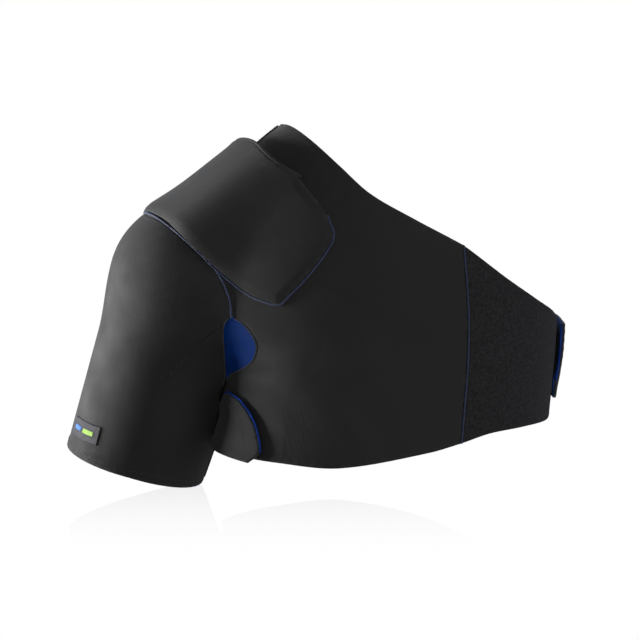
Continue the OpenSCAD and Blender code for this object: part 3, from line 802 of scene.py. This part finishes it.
# the rows swing outwards beside the tip of the armpit insert, so the cloth doesn't fold over its corner
swing = SWING * (bell(share, SWING_AT, SWING_W) + bell(share, 1 - SWING_AT, SWING_W))
grid[..., 0] -= swing * (rows * (1 - rows))[..., 0]
grid = settle(body, grid)
station = (grid - ARM_FOOT) @ ARM_DIR - HEM_AT + hem_drop(turns)[None]
turned = HEM_SWELL * (1 - ease((station - HEM_W) / 1.6)) - HEM_GROOVE * bell(station, HEM_W + 0.6, 0.8)
piece = fabric("arm_sleeve", grid, 0, FABRIC + turned, WRAP_MATS, ring=True)
bends_with_sleeve(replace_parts(piece, "arm_sleeve"))

# armpit insert between the sleeve and the body, arched upwards between its two seams
GUSSET_ARCH = 24
u = np.linspace(0.024, 0.976, 140)
v = fractions(34, 2.4)[:, None, None]
sleeve_side = round_trip([(gusset_sleeve, 8), (vault_sleeve, 4)], u)
chest_side = round_trip([(gusset_chest, 8), (vault_chest, 4)], u)
grid = mix(sleeve_side[None], chest_side[None], v) + GUSSET_ARCH * v * (1 - v) * np.array([0, 0, 1])
piece = fabric("armpit_gusset", settle(body, grid), 0.4, FABRIC - 0.3, [GUSSET] * 3, bend=1.4)
bends_with_sleeve(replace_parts(piece, "armpit_gusset"))

# elastic cuff band inside the hem, with ribs on its inner face
CUFF_H, CUFF_R, CUFF_HALF, CUFF_ROUND = 14, 55.5, 1.4, 1.2
RIB_H, RIB_PITCH = 0.18, 2.0
theta = np.linspace(0, 2 * math.pi, 193)
hoop = np.linspace(0, 1, 19)
wave = RIB_H * np.cos(2 * math.pi * hoop * CUFF_H / RIB_PITCH)
from_rim = np.clip(np.minimum(hoop, 1 - hoop) * CUFF_H / CUFF_ROUND, 0, 1)
rolled = np.sqrt(np.clip(1 - (1 - from_rim) ** 2, 0.1, 1))
inner, outer = [np.stack([on_arm(HEM_AT + 2 + CUFF_H * h + 0 * theta, theta, CUFF_R + half * k + 0 * theta)
                          for h, k in zip(hoop, rolled)]) for half in (-CUFF_HALF, CUFF_HALF)]
inner += wave[:, None, None] * off_arm(inner)
piece = two_faced("cuff_band", inner, outer, [ELASTIC] * 3, ring=True)
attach(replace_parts(piece, "cuff_band"), "sleeve")

theta = np.linspace(0, 2 * math.pi, 400)
path = on_arm(HEM_AT + 6.5 - hem_drop(theta), theta, arm_radius(HEM_AT) + FABRIC + 0.6 + 0 * theta)
piece = joined("cuff_hem_stitching", stitches(path, off_arm(path), 2.8, 1.1, 0.26), DARK_THREAD)
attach(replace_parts(piece, "cuff_hem_stitching"), "sleeve")

stations = np.linspace(26, 66, 40)
path = even(on_arm(stations, math.pi + 0 * stations, arm_radius(stations) + FABRIC + 0.5), SEAM_STEP)
cord = tube(path, 0.75, np.array([1.0, 0.0, 0.3]), 8, PLY_DEPTH)
piece = joined("sleeve_seam_thread", [cord], DARK_THREAD)
bends_with_sleeve(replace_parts(piece, "sleeve_seam_thread"))


# ------------------------------------------------------------------ seams
def seam_piece(name, curves, mat=THREAD, h=THREAD_H, r=0.8, bends=False):
    piece = joined(name, [seam_cord(c, h, r) for c in curves], mat)
    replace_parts(piece, name)
    return bends_with_sleeve(piece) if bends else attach(piece, "wrap")


def cut(points, t0, t1, n=24):
    """Guide points of the piece of a curve between two fractions."""
    return [tuple(p) for p in curve(points, np.linspace(t0, t1, n))]


seam_piece("armhole_seam_thread", both(cut(armhole, 0.58, 1.0)))
seam_piece("gusset_seam_thread", both(cut(gusset_chest, 0.02, 0.8)) + both(cut(gusset_sleeve, 0.05, 0.8)),
           DARK_THREAD, FABRIC + 0.35, 0.5, bends=True)
seam_piece("closure_seam_thread", [closure_edge], r=0.65)
seam_piece("shoulder_seam_thread", [[(-60, 0, 300), (-46, 0, 308), (-33, 0, 317)]], mat=DARK_THREAD)
root = [(146, 102, 148), (146, 102, 112), (146, 102, 77)]
path = path_on(root, FABRIC + 0.4)
piece = joined("strap_root_stitching", stitches(path, normals(body, path), 3.0, 1.2, 0.34), THREAD)
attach(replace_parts(piece, "strap_root_stitching"), "wrap")


# ------------------------------------------------------------------ shoulder pocket
POCKET_TIP, POCKET_CORNER, MOUTH_END = (-31, -102, 172), (15, -102, 234), (-12, -83, 277)
pocket_low = [TIP, (-130, -44, 236), (-101, -70, 215), SPLIT, (-57, -89, 180), POCKET_TIP]
pocket_side = [POCKET_TIP, (-5, -105, 200), (13, -103, 225), POCKET_CORNER]
pocket_rise = [POCKET_CORNER, (6, -96, 255), MOUTH_END]
mouth = [MOUTH_END, (-36, -65, 290), (-50, -42, 300), (-65, 0, 298)]
back_side = [(-31, 102, 172), (-5, 105, 200), (9, 103, 221)]
back_rise = [back_side[-1], (7, 102, 238), (-7, 96, 252), (-26, 85, 262)]
back_mouth = [mouth[-1], (-66, 42, 290), (-53, 66, 278), back_rise[-1]]


def seam_edge(t):
    """The pocket's lower seam, from the front tip over the shoulder to the back tip."""
    front = curve(pocket_low, np.clip(1 - 2 * t, 0, 1))
    back = curve(mirrored(pocket_low), np.clip(2 * t - 1, 0, 1))
    return np.where((t < 0.5)[:, None], front, back)


RISE_SHARE, MOUTH_SHARE = 4, 8
top_edge = chained([(pocket_rise, RISE_SHARE), (mouth, MOUTH_SHARE), (back_mouth, MOUTH_SHARE),
                    (back_rise[::-1], RISE_SHARE)])
mouth_edge = chained([(mouth, 1), (back_mouth, 1)])


def nearest(grid, line):
    """Distance from every grid point to the closest point of a line."""
    return np.stack([np.linalg.norm(row[:, None] - line[None], axis=-1).min(1) for row in grid])


# the cover's edge lies a little inside its seam, except at the mouth
COARSE_COLS, COARSE_ROWS = 130, 60
RISE_COLS = round(COARSE_COLS * RISE_SHARE / (2 * RISE_SHARE + 2 * MOUTH_SHARE))
SEAM_INSET, SEAM_RISE = 1.5, 7.0
MOUTH_HALF, MOUTH_BLEND = 0.325, 0.015
u, v = fractions(400, STEP), fractions(120, STEP, (0.3, 0.9, 1.8, 3.0, 4.5, 6.2))
coarse_u, coarse_v = np.linspace(0, 1, COARSE_COLS), np.linspace(0, 1, COARSE_ROWS)
coarse = patch(seam_edge, top_edge, edge(pocket_side), edge(back_side), coarse_u, coarse_v)
coarse = settle(cover_form, coarse)
for border, inside in ((np.s_[0], np.s_[1]), (np.s_[:, 0], np.s_[:, 1]), (np.s_[:, -1], np.s_[:, -2])):
    coarse[border] += SEAM_INSET * unit(coarse[inside] - coarse[border])
beside_mouth = np.clip((np.abs(coarse_u - 0.5) - MOUTH_HALF) / MOUTH_BLEND, 0, 1)[:, None]
coarse[-1] += SEAM_INSET * beside_mouth * unit(coarse[-2] - coarse[-1])
outline = patch(through(coarse[0]), through(coarse[-1]), through(coarse[:, 0]), through(coarse[:, -1]), u, v)
grid = settle(cover_form, outline)
front_rise, mouth_line, back_rise_line = np.split(coarse[-1], [RISE_COLS, -RISE_COLS])
seam_line = np.concatenate([coarse[0], coarse[:, 0], coarse[:, -1], front_rise, back_rise_line])
rise = ease(nearest(grid, seam_line) / SEAM_RISE)
mouth_swell = 0.35 * bell(nearest(grid, mouth_line), 3.0, 3.0)
low, high = -0.5 * (1 - rise), 0.9 + 2.1 * rise + mouth_swell
piece = fabric("pocket_cover", grid, low, high, WRAP_MATS, form=cover_form, bend=1.2)
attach(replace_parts(piece, "pocket_cover"), "wrap")

path = settle(cover_form, mouth_edge(np.linspace(0.004, 0.996, 260)) + SLIDE)
path = even(path + 1.6 * normals(cover_form, path), 1.0)
piece = joined("pocket_mouth_binding", [tube(path, 1.7, normals(cover_form, path), 12)], BLACK, 0.25)
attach(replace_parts(piece, "pocket_mouth_binding"), "wrap")

low_line = cut(pocket_low, 0.02, 0.97, 60)
front_seam = low_line + cut(pocket_side, 0.04, 1, 24) + cut(pocket_rise, 0.1, 0.3, 4)
back_seam = mirrored(low_line) + cut(back_side, 0.04, 1, 20) + cut(back_rise, 0.1, 0.3, 4)
seam_piece("pocket_seam_thread", [front_seam, back_seam], h=FABRIC + 1.15)


# ------------------------------------------------------------------ closures
STRAP_MID, STRAP_END_Y = 113.0, -26.0
END_TOP, END_FOOT, STRAP_FLARE, STRAP_PRESS = 147.0, 79.0, 1.5, 2.0
strap_top = [STRAP_ROOT_TOP, (187, 68, 150), (208, 24, 148), (209, STRAP_END_Y, END_TOP)]
strap_foot = [STRAP_ROOT_FOOT, (184, 68, 74), (203, 24, 77), (205, STRAP_END_Y + 18, END_FOOT),
              (206, STRAP_END_Y + 4, END_FOOT + 6), (207, STRAP_END_Y, END_FOOT + 18)]


def strap_height(u, v):
    """The strap lies on its hook patch; its free end lifts at the top and is pressed down at the bottom."""
    flare = STRAP_FLARE * ease((u - 0.8) / 0.2) * (1 - ease((v - 0.4) / 0.5))
    press = STRAP_PRESS * ease((u - 0.7) / 0.3) * ease((v - 0.7) / 0.3)
    return OVER_LOW * ease((u - 0.25) / 0.25) + (flare - press)


def hook_patch(name, top, foot, wide, tall, spacing, body_name):
    """Hook tape between two straight edges, under the cloth it is sewn to."""
    grid = patch(edge(top), edge(foot), edge([top[0], foot[0]]), edge([top[1], foot[1]]),
                 fractions(wide, spacing), fractions(tall, spacing))
    low = FABRIC + GAP
    piece = fabric(name, settle(body, grid), low, low + HOOK_T, [HOOK] * 3, bend=0.8, pucker=0, folds=False)
    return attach(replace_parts(piece, name), body_name)


u, v = fractions(160, STEP), fractions(74, STEP)
grid = patch(edge(strap_top), edge(strap_foot), edge([STRAP_ROOT_TOP, STRAP_ROOT_FOOT]),
             edge([strap_top[-1], strap_foot[-1]]), u, v)
rise = strap_height(u[None], v[:, None])
piece = fabric("closure_strap", settle(body, grid), rise, rise + FABRIC, WRAP_MATS, folds=False)
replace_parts(piece, "closure_strap")
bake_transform(piece)

hook_patch("strap_hook_patch", [(209, 14, 140), (209, -18, 140)], [(204, 14, 86), (204, -18, 86)],
           32, 54, 3.0, "strap")

TRIM_Y = STRAP_END_Y - 1.2
trim = [(211, TRIM_Y, END_TOP - 2), (210, TRIM_Y, STRAP_MID), (209, TRIM_Y, END_FOOT + 18)]
reach = np.linspace(0, 1, 160)[:, None]
path = even(lifted(curve(trim, reach[:, 0]), strap_height(1.0, 0.02 + 0.72 * reach) + 0.3), 0.8)
piece = joined("strap_end_trim", [tube(path, 0.9, normals(body, path), 10)], TRIM, 0.2)
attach(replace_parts(piece, "strap_end_trim"), "strap")

# under-arm band and its tab, one length of cloth
TAB_Y = -40.0
BAND_SHARE, TAB_SHARE = 16, 10
band_top = [(-78, 34, 76), (-74, 20, 68), (-70, 0, 63), (-74, -18, 64), (-77, -28, 67), (-76, TAB_Y, 74)]
band_foot = [(-85, 34, 41), (-86, 18, 40), (-82, 0, 39), (-86, -16, 40), (-86, -28, 40.5), (-84, TAB_Y, 40)]
tab_top = [band_top[-1], (-67, -53, 91), (-56.5, -71, 88)]
tab_foot = [band_foot[-1], (-78, -53, 38.5), (-68, -64, 37.5), (-50, -82, 36)]
tab_end = [tab_top[-1], (-48.5, -80, 76), (-43.5, -86, 58), (-42, -88, 45), tab_foot[-1]]
u, v = fractions(180, STEP * 0.7), fractions(45, STEP * 0.7)
grid = patch(chained([(band_top, BAND_SHARE), (tab_top, TAB_SHARE)]),
             chained([(band_foot, BAND_SHARE), (tab_foot, TAB_SHARE)]),
             edge([band_top[0], band_foot[0]]), edge(tab_end), u, v)
along_band = u * (BAND_SHARE + TAB_SHARE) / BAND_SHARE
rise = OVER_LOW * ease((along_band - 0.58) / 0.25)[None] + np.zeros((len(v), 1))
piece = fabric("underarm_band_tab", settle(body, grid), rise, rise + FABRIC, WRAP_MATS, folds=False)
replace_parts(piece, "underarm_band", "underarm_tab")
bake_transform(piece)

hook_patch("underarm_hook_patch", [(-69, -58, 79), (-57, -76, 72)], [(-73, -56, 50), (-54, -80, 50)],
           24, 28, 2.5, "tab")

out = np.array([0.8, -0.5, 0.25])
rim_line = [(p[0] + 1, p[1], p[2] + 1) for p in cut(tab_top, 0.3, 0.93, 6)]
rim_line += [tuple(np.array(p) + 1.2 * out / np.linalg.norm(out)) for p in tab_end[:-1]]
path = path_on(rim_line, OVER_LOW + FABRIC / 2)
piece = joined("tab_edge_trim", [tube(path, 0.8, normals(body, path), 10)], TRIM, 0.2)
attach(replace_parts(piece, "tab_edge_trim"), "tab")

path = path_on([(-67, -62, 82), (-60, -72, 73), (-55, -78, 58), (-54, -80, 46)], OVER_LOW + FABRIC + 0.1)
piece = joined("tab_stitching", stitches(path, normals(body, path), 2.4, 1.0, 0.3), DARK_THREAD)
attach(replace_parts(piece, "tab_stitching"), "tab")


# ------------------------------------------------------------------ gel pack
PACK_FROM, PACK_L = 44.0, 62.0
FILM_T, SEAL_W = 0.35, 4.0
QUILT_LINE, QUILT_W = 33, 2.2


def on_pack(along, turn, r):
    """Points of the arched pack: along the pocket, round its crown and from the arch's axis."""
    return (SHOULDER_TIP + along[..., None] * SLIDE + (PACK_AXIS_H + r * np.cos(turn))[..., None] * SLIDE_UP
            - (r * np.sin(turn))[..., None] * np.array([0.0, 1.0, 0.0]))


def pillow(inset, thick, seal):
    """Two faces of a quilted pack; thick is its full depth, seal the width of the flat rim."""
    reach = PACK_TURN - inset / PACK_R
    a = np.linspace(-1, 1, 73)[None] * reach
    s = np.linspace(inset, PACK_L - inset, 41)[:, None]
    a, s = a + 0 * s, s + 0 * a
    rim = np.minimum(np.minimum(s - inset, PACK_L - inset - s), (reach - np.abs(a)) * PACK_R)
    full = ease((rim - seal) / 7.0) ** 0.6
    off_crown = np.abs(a) * PACK_R
    quilt = 1 - 0.45 * bell(off_crown, 0, QUILT_W) - 0.35 * bell(off_crown, QUILT_LINE, QUILT_W)
    half = FILM_T + (thick / 2 - FILM_T) * full * quilt
    mid = PACK_R + PACK_T / 2
    return on_pack(PACK_FROM + s, a, mid - half), on_pack(PACK_FROM + s, a, mid + half)


low, high = pillow(0.0, PACK_T, SEAL_W)
piece = two_faced("pack_film", low, high, [FILM] * 3)
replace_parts(piece, "pack_outer_film", "pack_inner_film", "pack_edge_seal")
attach(piece, "gel_pack")
low, high = pillow(SEAL_W + 0.4, PACK_T - 1.1, 0.0)
piece = two_faced("pack_gel", low, high, [GEL] * 3)
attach(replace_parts(piece, "pack_gel"), "gel_pack")


# ------------------------------------------------------------------ sleeve label
label_low = [(-214, -16, 50), (-203, -37, 46.5), (-190, -51, 44)]
label_high = [(-209, -20, 65), (-199, -38, 62.5), (-186, -52, 60)]


LABEL_W, LABEL_H = 42, 16


def on_label(name, u0, u1, v0, v1, step, low, high, mat, bend):
    """Small sheet over a share of the label, between two heights above the sleeve."""
    u = mix(u0, u1, fractions((u1 - u0) * LABEL_W, step, (0.2, 0.5)))
    v = mix(v0, v1, fractions((v1 - v0) * LABEL_H, step, (0.2, 0.5)))[:, None, None]
    grid = settle(body, mix(curve(label_low, u)[None], curve(label_high, u)[None], v))
    return fabric(name, grid, FABRIC + low, FABRIC + high, [mat] * 3, bend=bend, pucker=0, folds=False)


piece = on_label("sleeve_label", 0, 1, 0, 1, 1.2, 0.05, 0.85, LABEL, 0.5)
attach(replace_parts(piece, "sleeve_label"), "sleeve")
piece = on_label("label_mark", 0.16, 0.42, 0.38, 0.62, 0.8, 0.8, 1.15, MARK_BLUE, 0.4)
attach(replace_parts(piece, "label_mark"), "sleeve")
piece = on_label("label_mark_long", 0.5, 0.84, 0.38, 0.62, 0.8, 0.8, 1.15, MARK_GREEN, 0.4)
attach(piece, "sleeve")


# ------------------------------------------------------------------ stage, lights and camera
def floor_material():
    """White floor with a faint reflection that fades towards the camera."""
    k = Nodes("floor")
    seen = k.math("ADD", k.math("MULTIPLY", k.add("ShaderNodeLightPath").outputs["Is Camera Ray"], 0.8), 0.2)
    glow = k.add("ShaderNodeEmission")
    k.put(glow.inputs["Strength"], seen)
    mirror = k.add("ShaderNodeBsdfGlossy")
    k.put(mirror.inputs["Color"], rgb(1.0, 1.0, 1.0))
    k.put(mirror.inputs["Roughness"], 0.0)
    both_ways = k.add("ShaderNodeMixShader")
    _, depth, _ = k.split(k.where)
    near = k.math("POWER", k.span(depth, -0.3, 0.02), 2.0)
    k.put(both_ways.inputs[0], k.math("MULTIPLY", near, k.span(k.noise(2.0), 0.3, 0.7, 0.17, 0.19)))
    k.tree.links.new(glow.outputs[0], both_ways.inputs[1])
    k.tree.links.new(mirror.outputs[0], both_ways.inputs[2])
    k.tree.links.new(both_ways.outputs[0], k.out.inputs["Surface"])
    return k.mat


def staged(name, data):
    """A new object of the stage, which isn't part of the wrap."""
    thing = bpy.data.objects.new(name, data)
    bpy.context.scene.collection.objects.link(thing)
    return thing


FLOOR_HALF, FLOOR_Z = 8.0, -0.001
corners = [(x * FLOOR_HALF, y * FLOOR_HALF, FLOOR_Z) for x, y in ((-1, -1), (1, -1), (1, 1), (-1, 1))]
floor_mesh = bpy.data.meshes.new("floor")
floor_mesh.from_pydata(corners, [], [(0, 1, 2, 3)])
floor_mesh.materials.append(floor_material())
staged("floor", floor_mesh)

# the world looks white to the camera and in mirrors, and lights the wrap more weakly
WORLD_LIGHT, WORLD_SEEN = 0.27, 1.0
world = bpy.data.worlds.new("studio")
bpy.context.scene.world = world
world.use_nodes = True
world.node_tree.nodes["Background"].inputs["Color"].default_value = rgb(1.0, 1.0, 1.0)
paths = world.node_tree.nodes.new("ShaderNodeLightPath")
seen = world.node_tree.nodes.new("ShaderNodeMath")
seen.operation = "MAXIMUM"
world.node_tree.links.new(paths.outputs["Is Camera Ray"], seen.inputs[0])
world.node_tree.links.new(paths.outputs["Is Singular Ray"], seen.inputs[1])
strength = world.node_tree.nodes.new("ShaderNodeMapRange")
strength.inputs["To Min"].default_value = WORLD_LIGHT
strength.inputs["To Max"].default_value = WORLD_SEEN
world.node_tree.links.new(seen.outputs[0], strength.inputs[0])
world.node_tree.links.new(strength.outputs[0], world.node_tree.nodes["Background"].inputs["Strength"])


def area_light(name, pos, aim, size, power):
    data = bpy.data.lights.new(name, "AREA")
    data.shape, data.size, data.energy = "SQUARE", size, power
    light = staged(name, data)
    light.location = pos
    x, y, z = np.array(aim) - np.array(pos)
    light.rotation_euler = (math.atan2(math.hypot(x, y), -z), 0, math.atan2(-x, y))


area_light("key", (0.2, -1.9, 0.9), (0, 0, 0.15), 0.8, 5)
area_light("left rim", (-1.35, 0.28, 0.10), (-0.15, 0, 0.1), 0.6, 60)
area_light("right fill", (1.3, -1.3, 0.4), (0.1, 0, 0.15), 1.0, 10)

AIM_X, AIM_Z = 0.0026, 0.147
CAMERA_TILT, CAMERA_DISTANCE = math.radians(8.0), 2.2
camera_data = bpy.data.cameras.new("camera")
camera_data.lens, camera_data.sensor_width = 141.0, 36.0
camera = staged("camera", camera_data)
back_off, rise = CAMERA_DISTANCE * math.cos(CAMERA_TILT), CAMERA_DISTANCE * math.sin(CAMERA_TILT)
camera.location = (AIM_X, -back_off, AIM_Z + rise)
camera.rotation_euler = (math.pi / 2 - CAMERA_TILT, 0, 0)
bpy.context.scene.camera = camera
bpy.context.scene.view_settings.view_transform = "Standard"
